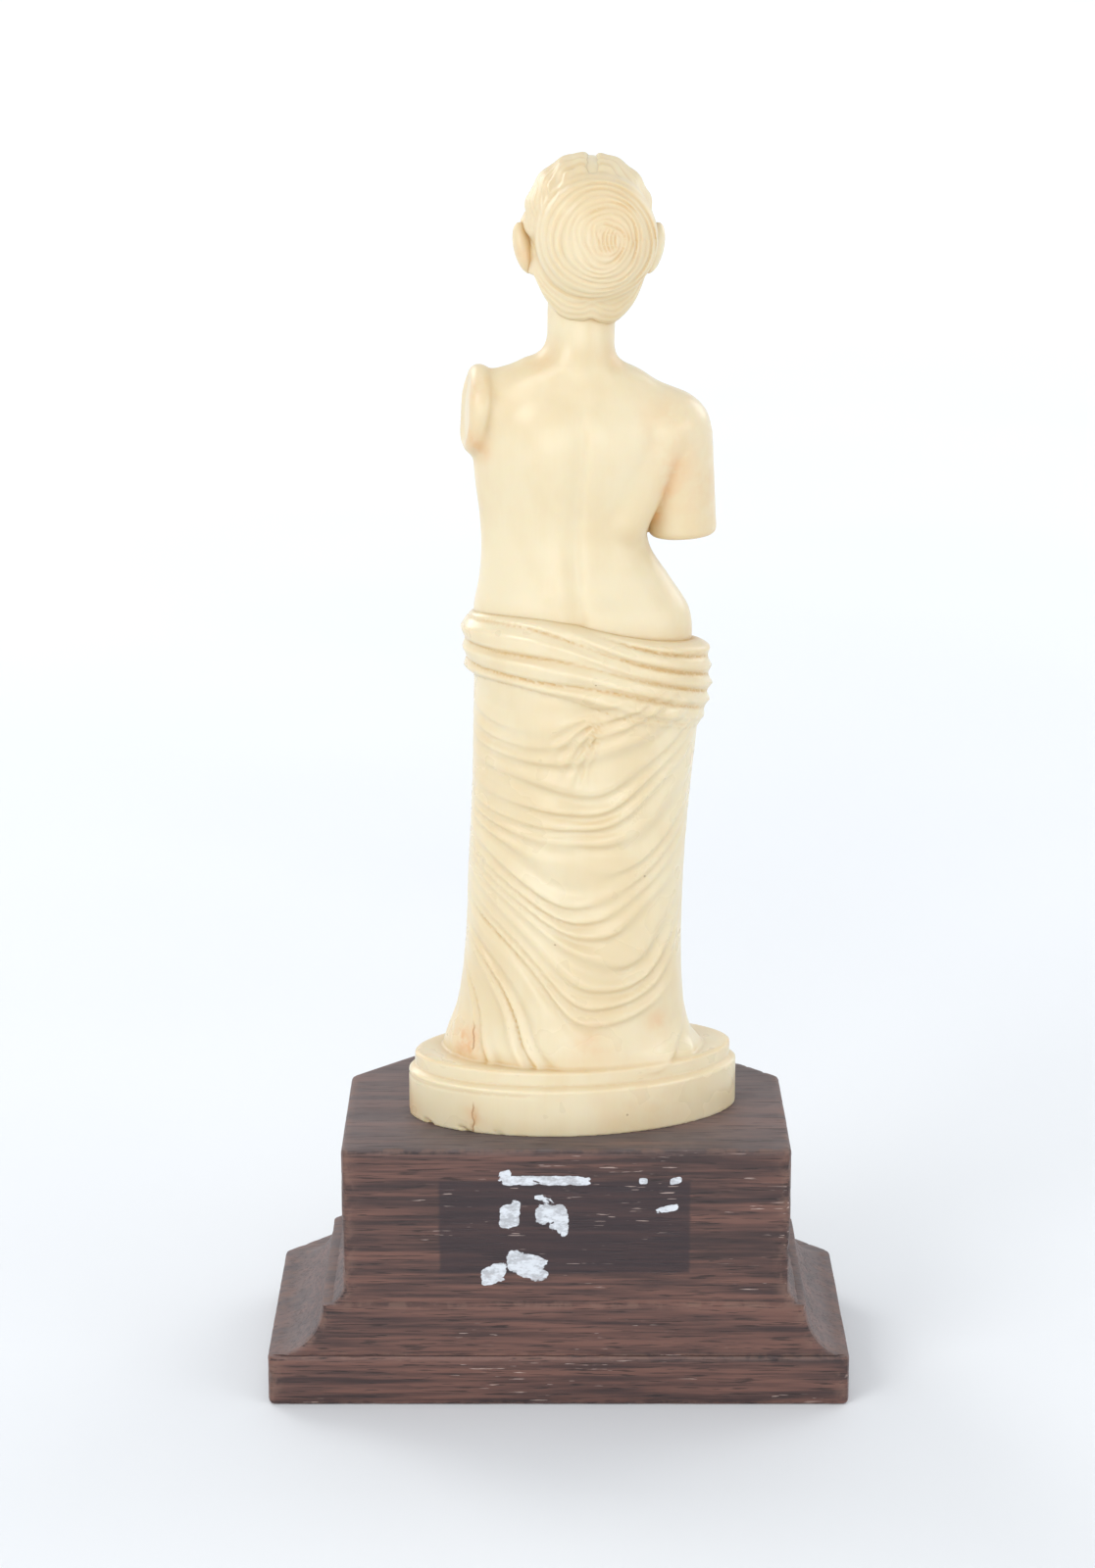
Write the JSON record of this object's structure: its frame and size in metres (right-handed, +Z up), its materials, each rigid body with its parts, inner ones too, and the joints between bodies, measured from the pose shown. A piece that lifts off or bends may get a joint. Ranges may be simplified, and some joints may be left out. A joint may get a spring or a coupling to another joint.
{
  "type": "carved figurine on stand",
  "caption": "Small carved statuette of a half-draped standing woman in antique style, on an oval foot and a moulded wooden stand.",
  "frame": {"origin": "on the ground under the middle of the stand's base", "axes": "+Z up, the figure faces -Y, the stand's flat rear face looks to +Y, +X is the figure's left"},
  "size_m": [0.075, 0.0414, 0.1582],
  "materials": {
    "carved_ivory_look": "satin",
    "dark_wood": "satin"
  },
  "bodies": {
    "root": {"figurine": "carved_ivory_look", "stand": "dark_wood"}
  },
  "joints": []
}
